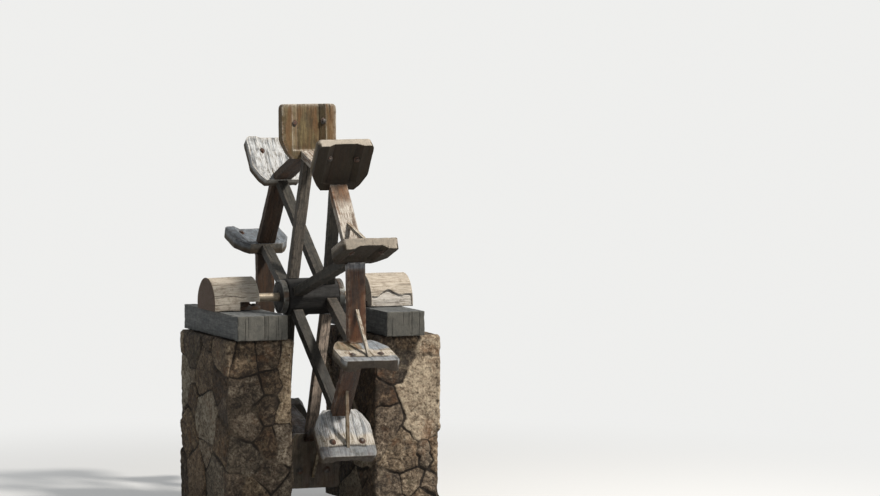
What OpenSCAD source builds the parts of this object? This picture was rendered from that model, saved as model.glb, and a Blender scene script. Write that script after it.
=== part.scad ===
// Small undershot water wheel on two masonry piers.
// Millimetres. X runs along the axle, Z is up, and the origin is on the ground under the axle's middle.

/* [Wheel] */
// Radius of the wheel at the outer ends of the paddles
wheel_r = 1000; // [900:5:1080]
// Free height between the wheel and the ground
ground_gap = 80; // [40:5:200]
// Angle of the first paddle above the horizontal, on the far side
rest_angle = 16.5; // [0:0.5:35]

/* [Paddles] */
// Width of a paddle, along the axle
paddle_w = 300; // [260:2:320]
// Thickness of a paddle at its margins
paddle_t = 60; // [46:1:72]
// Length of the full-width outer part of a paddle
paddle_blade_l = 190; // [150:5:220]
// Length of the shoulder where a paddle narrows
shoulder_l = 65; // [45:1:80]
// Narrowing of each side over the shoulder
shoulder_in = 32; // [20:1:45]
// Width of a paddle's neck at its inner end
neck_w = 180; // [130:2:220]
// Radius of the outer corners of a paddle
corner_r = 25; // [10:1:40]
// Width of the hollow worked into a paddle's face, at the face
trough_w = 184; // [150:2:230]
// Width of the hollow's flat floor
trough_floor_w = 118; // [60:2:130]
// Depth of the hollow
trough_d = 18; // [8:1:24]
// Length of the hollow from the outer end inwards
trough_l = 240; // [200:5:260]

/* [Rim] */
// Distance from the axle to the outer face of a rim board
rim_r = 730; // [680:2:744]
// Thickness of a rim board
rim_t = 42; // [30:1:55]
// Width of a rim board, along the axle
rim_w = 96; // [70:1:120]

/* [Struts] */
// Thickness of a strut, along the axle
strut_t = 17; // [12:1:24]
// Depth of a strut, across its length
strut_h = 19; // [14:1:28]
// Distance of a strut's foot from the outer end of its paddle
strut_foot = 70; // [55:1:100]
// Distance from the paddle's face to where the strut meets the rim
strut_reach = 150; // [110:2:180]

/* [Spokes] */
// Width of a spoke, along the axle
spoke_w = 56; // [44:1:64]
// Thickness of a spoke, around the wheel
spoke_t = 50; // [36:1:56]
// Distance of a spoke's foot from the middle of the hub
spoke_spread = 90; // [70:1:96]

/* [Hub] */
// Distance from the axle to the flats that carry the spokes
hub_flat_r = 95; // [90:1:110]
// Length of the part of the hub that has flats
hub_body_l = 272; // [264:2:290]
// Length of each round end of the hub
hub_end_l = 32; // [24:1:40]
// Radius of the round ends of the hub
hub_end_r = 80; // [60:1:86]
// Width of an iron hub band
band_w = 28; // [16:1:32]
// Thickness of an iron hub band
band_t = 8; // [4:0.5:12]

/* [Axle and bearings] */
// Diameter of the axle
axle_d = 44; // [34:1:54]
// Length of axle that stands out past each bearing
axle_stub = 10; // [4:1:16]
// Distance from the wheel's middle to a bearing block
bearing_in = 350; // [345:1:365]
// Length of a bearing block, along the axle
bearing_l = 65; // [50:1:70]
// Width of a bearing block, across the axle
bearing_w = 100; // [80:2:110]
// Height of a bearing block above the middle of the axle
bearing_top = 42; // [36:1:50]
// Distance from the wheel's middle to the bearing's base plate
plate_in = 292; // [285:1:320]
// Width of the base plate, across the axle
plate_w = 140; // [124:2:160]
// Thickness of the base plate
plate_t = 19; // [12:1:24]
// Length of base plate that stands out past the bearing block
plate_toe = 5; // [2:1:8]

/* [Sleepers] */
// Distance from the wheel's middle to the inner side of a sleeper
sleeper_in = 268; // [250:1:284]
// Width of the left sleeper
left_sleeper_w = 274; // [240:1:280]
// Width of the right sleeper
right_sleeper_w = 210; // [200:1:280]
// Height of a sleeper
sleeper_h = 130; // [100:1:160]
// Length of a sleeper, across the axle
sleeper_l = 880; // [820:5:960]
// Height of the axle's middle above the sleepers
axle_rise = 57; // [50:1:70]

/* [Bearing covers] */
// Radius of the log that a cover is made from
cover_r = 145; // [135:1:160]
// Height of the log's middle above the sleeper
cover_rise = 25; // [10:1:35]
// Distance from the wheel's middle to the left cover's inner end
left_cover_in = 316; // [306:1:344]
// Distance from the wheel's middle to the left cover's outer end
left_cover_out = 566; // [540:1:588]
// Distance from the wheel's middle to the right cover's inner end
right_cover_in = 292; // [280:1:310]
// Distance from the wheel's middle to the right cover's outer end
right_cover_out = 525; // [500:1:588]
// Height of the notch under the left cover's inner end
notch_h = 47; // [38:1:56]
// Free space between a cover and the bearing inside it
cover_gap = 8; // [6:0.5:12]
// Free space between the axle's end and the cover's hollow
cover_end_gap = 20; // [8:1:30]

/* [Piers] */
// Distance from the wheel's middle to the inner face of a pier
pier_in = 214; // [190:1:230]
// Width of a pier, along the axle
pier_w = 374; // [360:1:420]
// Depth of a pier, across the axle
pier_l = 800; // [700:5:900]

/* [Hidden] */

// The wheel has ten paddles, each with its own spoke and rim board.
paddle_count = 10;
pitch = 360 / paddle_count;
half_pitch = pitch / 2;

// Radial play of the axle in its bearings, and of pieces seated on round ones
running_gap = 0.05;
// Extra length of every cut past the face that it opens
cut = 1;
round_steps = 96;

axle_r = axle_d / 2;
axle_z = wheel_r + ground_gap;
sleeper_top = axle_z - axle_rise;
pier_top = sleeper_top - sleeper_h;

bearing_out = bearing_in + bearing_l;
axle_end = bearing_out + axle_stub;
plate_out = bearing_out + plate_toe;
hollow_end = axle_end + cover_end_gap;

// The boards' inner faces meet the paddles' faces at this distance from the axle.
rim_inner_r = rim_r - rim_t;
neck_r = (rim_inner_r - paddle_t / 2 * sin(half_pitch)) / cos(half_pitch);

stone_colour = [0.44, 0.38, 0.31];
sleeper_colour = [0.36, 0.35, 0.32];
cover_colour = [0.66, 0.61, 0.54];
iron_colour = [0.24, 0.21, 0.19];
steel_colour = [0.58, 0.55, 0.51];
hub_colour = [0.17, 0.14, 0.12];
spoke_colour = [0.22, 0.21, 0.19];
rim_colour = [0.34, 0.24, 0.16];
paddle_colour = [0.46, 0.38, 0.28];
strut_colour = [0.40, 0.36, 0.31];

// Angle of a paddle, turned from the far horizontal towards the top
function paddle_angle(k) = rest_angle + pitch * (k - 1);

// Half the angle-free width that a board has between two paddles, at a distance n from the axle
function board_half(n) = (n * sin(half_pitch) - paddle_t / 2) / cos(half_pitch);

// Places its children on the wheel: local Y points outwards at the given angle
module on_wheel(angle) {
    translate([0, 0, axle_z]) rotate([angle, 0, 0]) children();
}

// Places its children on one side: +1 is the right side, -1 the left
module on_side(side) {
    if (side > 0) children();
    else mirror([1, 0, 0]) children();
}

// Extrudes an outline drawn in Y and Z along X, evenly to both sides
module along_x(length) {
    rotate([90, 0, 90]) linear_extrude(length, center = true) children();
}

// A round bar along X between two places
module bar_x(x0, x1, r) {
    translate([x0, 0, 0]) rotate([0, 90, 0]) cylinder(r = r, h = x1 - x0, $fn = round_steps);
}

module pier(side) {
    color(stone_colour)
        on_side(side)
            translate([pier_in, -pier_l / 2, 0])
                cube([pier_w, pier_l, pier_top]);
}

module sleeper(side, width) {
    color(sleeper_colour)
        on_side(side)
            translate([sleeper_in, -sleeper_l / 2, pier_top])
                cube([width, sleeper_l, sleeper_h]);
}

// Iron block with a base plate, bored for the axle
module bearing(side) {
    color(iron_colour)
        on_side(side)
            difference() {
                union() {
                    translate([plate_in, -plate_w / 2, sleeper_top])
                        cube([plate_out - plate_in, plate_w, plate_t]);
                    translate([bearing_in, -bearing_w / 2, sleeper_top])
                        cube([bearing_l, bearing_w, axle_rise + bearing_top]);
                }
                translate([0, 0, axle_z])
                    bar_x(bearing_in - cut, bearing_out + cut, axle_r + running_gap);
            }
}

// Outline of a cover: the upper part of a log, cut flat where it lies on the sleeper
module cover_outline() {
    intersection() {
        translate([0, cover_rise]) circle(r = cover_r, $fn = round_steps);
        translate([-cover_r, 0]) square([2 * cover_r, cover_rise + cover_r]);
    }
}

// Room for the bearing and the axle inside a cover, open to the sleeper and to the inner end
module cover_hollow(x_in) {
    block_w = bearing_w + 2 * cover_gap;
    block_h = axle_rise + bearing_top + cover_gap;
    base_w = plate_w + 2 * cover_gap;
    base_h = plate_t + cover_gap;
    translate([x_in - cut, -block_w / 2, sleeper_top - cut])
        cube([hollow_end - x_in + cut, block_w, block_h + cut]);
    translate([x_in - cut, -base_w / 2, sleeper_top - cut])
        cube([hollow_end - x_in + cut, base_w, base_h + cut]);
}

module cover(side, x_in, x_out, notch_end) {
    color(cover_colour)
        on_side(side)
            difference() {
                translate([(x_in + x_out) / 2, 0, sleeper_top])
                    along_x(x_out - x_in) cover_outline();
                cover_hollow(x_in);
                if (notch_end > x_in)
                    translate([x_in - cut, -cover_r - cut, sleeper_top - cut])
                        cube([notch_end - x_in + cut, 2 * (cover_r + cut), notch_h + cut]);
            }
}

module axle() {
    color(steel_colour)
        translate([0, 0, axle_z])
            bar_x(-axle_end, axle_end, axle_r);
}

// Ten-sided timber hub with round ends, bored for the axle
module hub() {
    corner_radius = hub_flat_r / cos(half_pitch);
    full_l = hub_body_l + 2 * hub_end_l;
    color(hub_colour)
        on_wheel(paddle_angle(1))
            difference() {
                union() {
                    translate([-hub_body_l / 2, 0, 0])
                        rotate([0, 90, 0])
                            rotate([0, 0, half_pitch + 90])
                                cylinder(r = corner_radius, h = hub_body_l, $fn = paddle_count);
                    bar_x(-full_l / 2, full_l / 2, hub_end_r);
                }
                bar_x(-full_l / 2 - cut, full_l / 2 + cut, axle_r + running_gap);
            }
}

// Iron band around one round end of the hub
module hub_band(side) {
    band_x = hub_body_l / 2 + hub_end_l - band_w;
    color(iron_colour)
        on_side(side)
            translate([0, 0, axle_z])
                difference() {
                    bar_x(band_x, band_x + band_w, hub_end_r + running_gap + band_t);
                    bar_x(band_x - cut, band_x + band_w + cut, hub_end_r + running_gap);
                }
}

// Timber that leans from one end of the hub to the paddle's neck; the ends take turns
module spoke(k) {
    foot_x = (k % 2 == 1 ? -1 : 1) * spoke_spread;
    lean = atan2(spoke_spread, neck_r - hub_flat_r);
    half_w = spoke_w / cos(lean) / 2;
    color(spoke_colour)
        on_wheel(paddle_angle(k))
            linear_extrude(spoke_t, center = true)
                polygon([
                    [foot_x - half_w, hub_flat_r],
                    [foot_x + half_w, hub_flat_r],
                    [half_w, neck_r],
                    [-half_w, neck_r]
                ]);
}

// Flat board between two paddles, cut to their faces at both ends
module rim_board(k) {
    inner = board_half(rim_inner_r);
    outer = board_half(rim_r);
    color(rim_colour)
        on_wheel(paddle_angle(k) + half_pitch)
            along_x(rim_w)
                polygon([
                    [rim_inner_r, -inner],
                    [rim_r, -outer],
                    [rim_r, outer],
                    [rim_inner_r, inner]
                ]);
}

// Outline of a paddle: a full-width blade, a shoulder and a tapering neck
module paddle_outline() {
    half_w = paddle_w / 2;
    blade_r = wheel_r - paddle_blade_l;
    shoulder_r = blade_r - shoulder_l;
    corner_x = half_w - corner_r;
    polygon([
        [-neck_w / 2, neck_r],
        [neck_w / 2, neck_r],
        [half_w - shoulder_in, shoulder_r],
        [half_w, blade_r],
        [half_w, wheel_r - corner_r],
        [corner_x, wheel_r],
        [-corner_x, wheel_r],
        [-half_w, wheel_r - corner_r],
        [-half_w, blade_r],
        [-half_w + shoulder_in, shoulder_r]
    ]);
    for (side = [-1, 1])
        translate([side * corner_x, wheel_r - corner_r]) circle(r = corner_r, $fn = round_steps);
}

// The hollow in a paddle's face: a flat floor between two sloping sides, open at the outer end
module trough() {
    face = paddle_t / 2;
    translate([0, wheel_r - trough_l, 0])
        rotate([90, 0, 180])
            linear_extrude(trough_l + cut)
                polygon([
                    [-trough_w / 2, face + cut],
                    [-trough_w / 2, face],
                    [-trough_floor_w / 2, face - trough_d],
                    [trough_floor_w / 2, face - trough_d],
                    [trough_w / 2, face],
                    [trough_w / 2, face + cut]
                ]);
}

module paddle(k) {
    color(paddle_colour)
        on_wheel(paddle_angle(k))
            difference() {
                linear_extrude(paddle_t, center = true) paddle_outline();
                trough();
            }
}

// Slanted bar between a paddle's back and the outer face of the rim board behind it
module strut(k) {
    foot = [wheel_r - strut_foot, paddle_t / 2];
    reach = paddle_t / 2 + strut_reach;
    head = [(rim_r - reach * sin(half_pitch)) / cos(half_pitch), reach];
    run = (head - foot) / norm(head - foot);
    rim_dir = [-sin(half_pitch), cos(half_pitch)];
    foot_half = strut_h / 2 / run[1];
    head_half = strut_h / 2 / abs(rim_dir[0] * run[1] - rim_dir[1] * run[0]);
    outline = [
        foot + [foot_half, 0],
        foot - [foot_half, 0],
        head - head_half * rim_dir,
        head + head_half * rim_dir
    ];
    on_wheel(paddle_angle(k))
        along_x(strut_t)
            polygon([for (p = outline) [p[0], -p[1]]]);
}

module paddle_struts() {
    color(strut_colour)
        for (k = [1 : paddle_count]) strut(k);
}

pier(-1);  // left_pier
pier(1);  // right_pier
sleeper(-1, left_sleeper_w);  // left_sleeper
sleeper(1, right_sleeper_w);  // right_sleeper
bearing(-1);  // left_bearing
bearing(1);  // right_bearing
cover(-1, left_cover_in, left_cover_out, plate_out + plate_toe);  // left_cover
cover(1, right_cover_in, right_cover_out, right_cover_in);  // right_cover
axle();
hub();
hub_band(-1);  // left_hub_band
hub_band(1);  // right_hub_band
for (k = [1 : paddle_count]) {
    spoke(k);
    rim_board(k);
    paddle(k);
}
paddle_struts();
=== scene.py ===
import math
import bpy
import numpy as np
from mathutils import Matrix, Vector


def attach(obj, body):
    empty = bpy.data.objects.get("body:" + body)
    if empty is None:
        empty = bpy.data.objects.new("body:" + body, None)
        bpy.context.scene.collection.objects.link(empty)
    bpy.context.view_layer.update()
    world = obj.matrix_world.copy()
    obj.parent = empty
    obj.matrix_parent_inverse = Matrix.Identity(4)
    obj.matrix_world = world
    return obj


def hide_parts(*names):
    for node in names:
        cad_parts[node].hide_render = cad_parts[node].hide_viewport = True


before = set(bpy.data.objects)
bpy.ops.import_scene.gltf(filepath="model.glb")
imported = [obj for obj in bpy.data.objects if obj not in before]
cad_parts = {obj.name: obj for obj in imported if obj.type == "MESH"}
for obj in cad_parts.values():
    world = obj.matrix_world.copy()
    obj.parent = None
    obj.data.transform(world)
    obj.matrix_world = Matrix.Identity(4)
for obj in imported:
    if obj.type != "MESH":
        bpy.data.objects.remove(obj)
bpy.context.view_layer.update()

# Sizes of the part, in metres, as its source has them. Side -1 is the left one and 1 the right one.
SIDES = {-1: "left", 1: "right"}
WHEEL_R = 1.0
AXLE_Z = 1.08
AXLE_R = 0.022
REST_ANGLE = 16.5
PADDLE_COUNT = 10
PITCH = 360 / PADDLE_COUNT
HALF_PITCH = math.radians(PITCH / 2)

PADDLE_W = 0.300
PADDLE_T = 0.060
BLADE_L = 0.190
SHOULDER_L = 0.065
SHOULDER_IN = 0.032
NECK_W = 0.180
CORNER_R = 0.025
TROUGH_W = 0.184
TROUGH_FLOOR_W = 0.118
TROUGH_D = 0.018
TROUGH_L = 0.240

RIM_R = 0.730
RIM_T = 0.042
RIM_W = 0.096
NECK_R = (RIM_R - RIM_T - PADDLE_T / 2 * math.sin(HALF_PITCH)) / math.cos(HALF_PITCH)

STRUT_T = 0.017
STRUT_H = 0.019
STRUT_FOOT = 0.070
STRUT_REACH = 0.150

SPOKE_W = 0.056
SPOKE_T = 0.050
SPOKE_SPREAD = 0.090

HUB_FLAT_R = 0.095
HUB_BODY_L = 0.272
HUB_END_L = 0.032
HUB_END_R = 0.080
HUB_PLAY = 0.0008

PLATE_IN = 0.292
PLATE_W = 0.140
PLATE_T = 0.019
BEARING_IN = 0.350
BEARING_W = 0.100
BEARING_TOP = 0.042

AXLE_RISE = 0.057
SLEEPER_IN = 0.268
SLEEPER_W = {-1: 0.274, 1: 0.210}
SLEEPER_H = 0.130
SLEEPER_L = 0.880
SLEEPER_TOP = AXLE_Z - AXLE_RISE

COVER_R = 0.145
COVER_RISE = 0.025
COVER_SPAN = {-1: (0.316, 0.566), 1: (0.292, 0.525)}
COVER_GAP = 0.008
HOLLOW_END = 0.445
NOTCH_END = 0.425
NOTCH_H = 0.047

PIER_IN = 0.214
PIER_W = 0.374
PIER_L = 0.800
PIER_TOP = SLEEPER_TOP - SLEEPER_H


# Noise and falls

def lattice(cell, seed):
    """A repeatable random value from 0 to 1 for each row of whole numbers."""
    c = cell.astype(np.uint64)
    h = c[:, 0] * np.uint64(374761393) + c[:, 1] * np.uint64(668265263)
    h = h + c[:, 2] * np.uint64(2246822519) + np.uint64(seed * 3266489917 % 2 ** 32)
    h = (h ^ (h >> np.uint64(13))) * np.uint64(1274126177)
    h = h ^ (h >> np.uint64(16))
    return (h & np.uint64(0xFFFFFF)).astype(float) / 0xFFFFFF


def noise(p, seed=0):
    """Smooth noise from -1 to 1 at each row of p, with cells one unit wide."""
    p = p + 1000.0
    cell = np.floor(p)
    f = p - cell
    f = f * f * (3 - 2 * f)
    cell = cell.astype(np.int64)
    total = np.zeros(len(p))
    for corner in np.ndindex(2, 2, 2):
        w = np.where(corner, f, 1 - f)
        total += w[:, 0] * w[:, 1] * w[:, 2] * lattice(cell + corner, seed)
    return total * 2 - 1


def line_noise(x, seed):
    """Noise along one direction."""
    return noise(np.stack([x, 0 * x, 0 * x], -1), seed)


def fractal(p, seed=0, octaves=3):
    """Noise with finer noise on top, from about -1 to 1."""
    total, size, weight = np.zeros(len(p)), 1.0, 1.0
    for octave in range(octaves):
        total += noise(p * size, seed + octave) * weight
        size *= 2.1
        weight *= 0.5
    return total / 1.6


def smooth(x, low, high):
    """0 below low, 1 above high and smooth between."""
    t = np.clip((x - low) / (high - low), 0, 1)
    return t * t * (3 - 2 * t)


def ridge(x, width):
    """1 where x is 0, falling to 0 on both sides."""
    return np.exp(-(x / width) ** 2)


def blend(rows, target, share):
    """Rows moved towards a target by each row's share."""
    return rows + (target - rows) * share[:, None]


def shares(hundredths):
    return np.array(hundredths) / 100


# Meshes

def sheet_quads(grid, flip=False):
    """Quads over a grid of vertex numbers."""
    quads = np.stack([grid[:-1, :-1], grid[1:, :-1], grid[1:, 1:], grid[:-1, 1:]], -1).reshape(-1, 4)
    return quads[:, ::-1] if flip else quads


def box_grid(xs, ys, zs):
    """Points and quads of a box's closed surface, with grid lines at xs, ys and zs."""
    shape = (len(xs), len(ys), len(zs))
    i, j, k = np.meshgrid(*(np.arange(n) for n in shape), indexing="ij")
    shell = (i == 0) | (j == 0) | (k == 0) | (i == shape[0] - 1) | (j == shape[1] - 1) | (k == shape[2] - 1)
    index = np.full(shape, -1)
    index[shell] = np.arange(shell.sum())
    points = np.stack([xs[i[shell]], ys[j[shell]], zs[k[shell]]], -1)
    faces = [(axis, end) for axis in (2, 1, 0) for end in (0, -1)]
    quads = [sheet_quads(index.take(end, axis), (end == 0) != (axis == 1)) for axis, end in faces]
    return points, np.concatenate(quads)


def normals_of(points, quads):
    """Vertex normals, from the diagonals of the quads round each vertex."""
    normals = np.zeros_like(points)
    face = np.cross(points[quads[:, 2]] - points[quads[:, 0]], points[quads[:, 3]] - points[quads[:, 1]])
    for corner in range(4):
        np.add.at(normals, quads[:, corner], face)
    return normals / np.maximum(np.linalg.norm(normals, axis=1, keepdims=True), 1e-12)


def sunk(points, quads, depth):
    """The points, moved into the surface by a depth each."""
    return points - normals_of(points, quads) * depth[:, None]


def outward(points, quads):
    """The quads, turned so that they face out of the closed mesh."""
    a, b, c, d = (points[quads[:, n]] for n in range(4))
    volume = (a * np.cross(b, c)).sum() + (a * np.cross(c, d)).sum()
    return quads if volume > 0 else quads[:, ::-1]


def tube_faces(points, rings, centre):
    """Quads and two end faces of a tube of rings of points, turned to face out."""
    index = np.arange(len(points)).reshape(rings, -1)
    quads = sheet_quads(np.pad(index, ((0, 0), (0, 1)), mode="wrap"))
    caps = [index[0], index[-1, ::-1]]
    if outward(points - centre, quads) is quads:
        return quads, caps
    return quads[:, ::-1], [cap[::-1] for cap in caps]


def joined(parts):
    """One set of points, quads and marks from several."""
    starts = np.cumsum([0] + [len(points) for points, _, _ in parts])
    points = np.concatenate([part[0] for part in parts])
    quads = np.concatenate([part[1] + start for part, start in zip(parts, starts)])
    return points, quads, {key: np.concatenate([part[2][key] for part in parts]) for key in parts[0][2]}


def set_marks(mesh, marks):
    """Writes the marks to the mesh's vertices, for the materials to read."""
    for key, values in marks.items():
        kind, field = ("FLOAT_VECTOR", "vector") if values.ndim == 2 else ("FLOAT", "value")
        layer = mesh.attributes.get(key) or mesh.attributes.new(key, kind, "POINT")
        layer.data.foreach_set(field, values.astype(np.float32).ravel())


def added(name, data):
    """A new object in the scene."""
    obj = bpy.data.objects.new(name, data)
    bpy.context.scene.collection.objects.link(obj)
    return obj


def piece(name, data, material, body, replaces=(), caps=()):
    """Makes an object of points, quads and marks, and puts it on a body."""
    points, quads, marks = data
    mesh = bpy.data.meshes.new(name)
    mesh.from_pydata(points.tolist(), [], quads.tolist() + [cap.tolist() for cap in caps])
    set_marks(mesh, marks)
    mesh.shade_smooth()
    mesh.materials.append(material)
    obj = added(name, mesh)
    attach(obj, body)
    if replaces:
        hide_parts(*replaces)
    return obj


# Timber

def grid_lines(half, step, r, extra=()):
    """Grid lines from -half to half, closer where the edges are rounded."""
    inner = half - r
    count = max(1, round(2 * inner / step))
    lines = np.linspace(-inner, inner, count + 1).tolist()
    lines += [-half, half, -half + 0.3 * r, half - 0.3 * r]
    lines += [x for x in extra if abs(x) < half]
    return np.unique(np.round(lines, 6))


def random_cracks(rng, half, count, length=(0.05, 0.18), depth=(0.004, 0.010)):
    """Cracks that run in from the ends: place across, end, length, half-width, depth and face."""
    cracks = []
    for _ in range(count):
        across = rng.uniform(-0.85, 0.85) * half[0]
        reach = min(rng.uniform(*length), 1.6 * half[1])
        end = rng.choice([-1, 1])
        width = rng.uniform(0.0010, 0.0022)
        cracks.append((across, end, reach, width, rng.uniform(*depth), rng.choice([-1, 1])))
    return cracks


def plank(half, step, r, seed, shape, extra=((), ()), cracks=(), furrow=0.0006, wave=0.0010, chips=0.003):
    """A worn timber: x across the grain, y along it and z through it, bent to its place by shape."""
    crack_lines = [c[0] + side * c[3] for c in cracks for side in (-1, 0, 1)]
    lines = (list(extra[0]) + crack_lines, extra[1], ())
    p, quads = box_grid(*(grid_lines(half[n], step[n], r, lines[n]) for n in range(3)))
    sizes = np.array(half)
    away = np.sort(sizes - np.abs(p), axis=1)
    edge = np.exp(-away[:, 1] / 0.007)
    radius = (r * (0.60 + 0.40 * noise(p * 40, seed)))[:, None]
    core = np.clip(p, -(sizes - radius), sizes - radius)
    gap = p - core
    size = np.linalg.norm(gap, axis=1, keepdims=True)
    q = np.where(size > 1e-9, core + gap / np.maximum(size, 1e-9) * radius, p)
    sway = 0.0030 * noise(p * [6, 9, 24], seed + 8) + 0.0012 * noise(p * [6, 30, 80], seed + 9)
    q[:, 0] += sway * (1 - (p[:, 0] / half[0]) ** 4)
    depth = furrow * (1 + fractal(p * [150, 4.5, 150], seed + 11, 2)) * 0.6
    depth += wave * (1 + noise(p * [26, 3.5, 26], seed + 5)) * 0.5
    depth += chips * edge * np.clip(noise(p * [60, 22, 60], seed + 3) - 0.25, 0, 1)
    at_ends = half[1] - 1e-6
    crack_mark = np.zeros(len(p))
    for across, end, reach, width, deep, face in cracks:
        run = np.clip(1 - (half[1] - end * p[:, 1]) / reach, 0, 1)
        on_line = np.abs(p[:, 0] - across) < 0.5 * width
        on_face = (p[:, 2] * face > half[2] - r).astype(float)
        through = np.clip(1.3 - (half[2] - face * p[:, 2]) / (9 * deep), 0, 1) * (p[:, 1] * end > at_ends)
        gain = run ** 0.6 * on_line * np.maximum(on_face, through)
        depth += deep * gain
        crack_mark = np.maximum(crack_mark, gain)
    points = shape(q)
    quads = outward(points, quads)
    marks = {
        "grain": p + np.array([0.37, 1.31, 0.73]) * (seed % 97),
        "place": p,
        "wear": np.stack([np.abs(p[:, 1]) > at_ends, edge, crack_mark], -1),
    }
    return sunk(points, quads, depth), quads, marks


def on_wheel(x, out, turn, angle):
    """Places of points given along the axle, outwards and round the wheel, from the far horizontal."""
    c, s = math.cos(math.radians(angle)), math.sin(math.radians(angle))
    return np.stack([x, out * c - turn * s, AXLE_Z + out * s + turn * c], -1)


def paddle_angle(k):
    return REST_ANGLE + PITCH * (k - 1)


def board_half(out):
    """Half the length of a rim board at a distance from the axle."""
    return (out * math.sin(HALF_PITCH) - PADDLE_T / 2) / math.cos(HALF_PITCH)


def paddle_half_width(out):
    """Half the width of a paddle at a distance from the axle, with its round corners."""
    half = PADDLE_W / 2
    blade = WHEEL_R - BLADE_L
    places = [NECK_R, blade - SHOULDER_L, blade, WHEEL_R]
    width = np.interp(out, places, [NECK_W / 2, half - SHOULDER_IN, half, half])
    over = np.clip(out - (WHEEL_R - CORNER_R), 0, CORNER_R)
    return width - CORNER_R + np.sqrt(CORNER_R ** 2 - over ** 2)


def trough_depth(across, out):
    """Depth of the hollow in a paddle's face."""
    dish = np.interp(np.abs(across), [TROUGH_FLOOR_W / 2, TROUGH_W / 2], [TROUGH_D, 0.0])
    ledge = WHEEL_R - TROUGH_L
    return dish * smooth(out, ledge - 0.002, ledge + 0.004)


def with_state(data, bleach, wet, shade, silver=0.0):
    """Adds how bleached, wet, dark and silvery a timber is at each point, from 0 to 1; the dark share is
    partly painted shade.
    """
    points, quads, marks = data
    rows = np.ones(len(points))
    marks["state"] = np.stack([rows * bleach, rows * wet, rows * shade], -1)
    marks["silver"] = rows * silver
    return points, quads, marks


# States are bleached, wet, dark and silvery, in hundredths. These are for the hollowed face, the back and the
# outer end of each paddle. The dark shares are partly dark wet wood and partly painted shade on faces turned
# away from the light. The pale outer ends of paddles 3, 4 and 5 and the white face of paddle 2 are partly
# painted highlight.
PADDLE_STATES = {
    1: ((0, 60, 15, 100), (0, 20, 75, 10), (0, 20, 60, 30)),
    2: ((100, 0, 0, 90), (5, 10, 75, 0), (60, 0, 0, 0)),
    3: ((4, 0, 8, 0), (15, 0, 25, 0), (75, 0, 0, 0)),
    4: ((0, 15, 100, 0), (35, 0, 15, 0), (60, 0, 0, 5)),
    5: ((0, 20, 100, 0), (60, 0, 0, 15), (45, 0, 5, 10)),
    6: ((0, 50, 90, 0), (20, 70, 0, 100), (0, 50, 88, 10)),
    7: ((0, 60, 85, 0), (75, 45, 0, 85), (0, 50, 88, 10)),
    8: ((0, 85, 85, 0), (12, 75, 45, 20), (5, 70, 60, 10)),
    9: ((3, 80, 70, 5), (3, 75, 65, 10), (5, 65, 55, 10)),
    10: ((10, 50, 45, 30), (0, 40, 70, 10), (5, 30, 50, 10)),
}
# The backs of these paddles have a groove: its place from the outer end, its width, where the dry wood inside
# it ends, and the states of that wood and of the strip outside the groove.
WORN_BACKS = {
    6: (0.068, 0.0090, 0.160, (90, 0, 0, 0), (25, 35, 10, 90)),
    7: (0.068, 0.0064, 0.135, (95, 0, 0, 10), (8, 10, 10, 75)),
}
BROWN_STATE = (25, 5, 0, 0)
GROOVE_HALF = 0.104
GROOVE_D = 0.0045
# Share of a paddle's thickness that wear has left
THICKNESS_LEFT = 0.97


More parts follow.
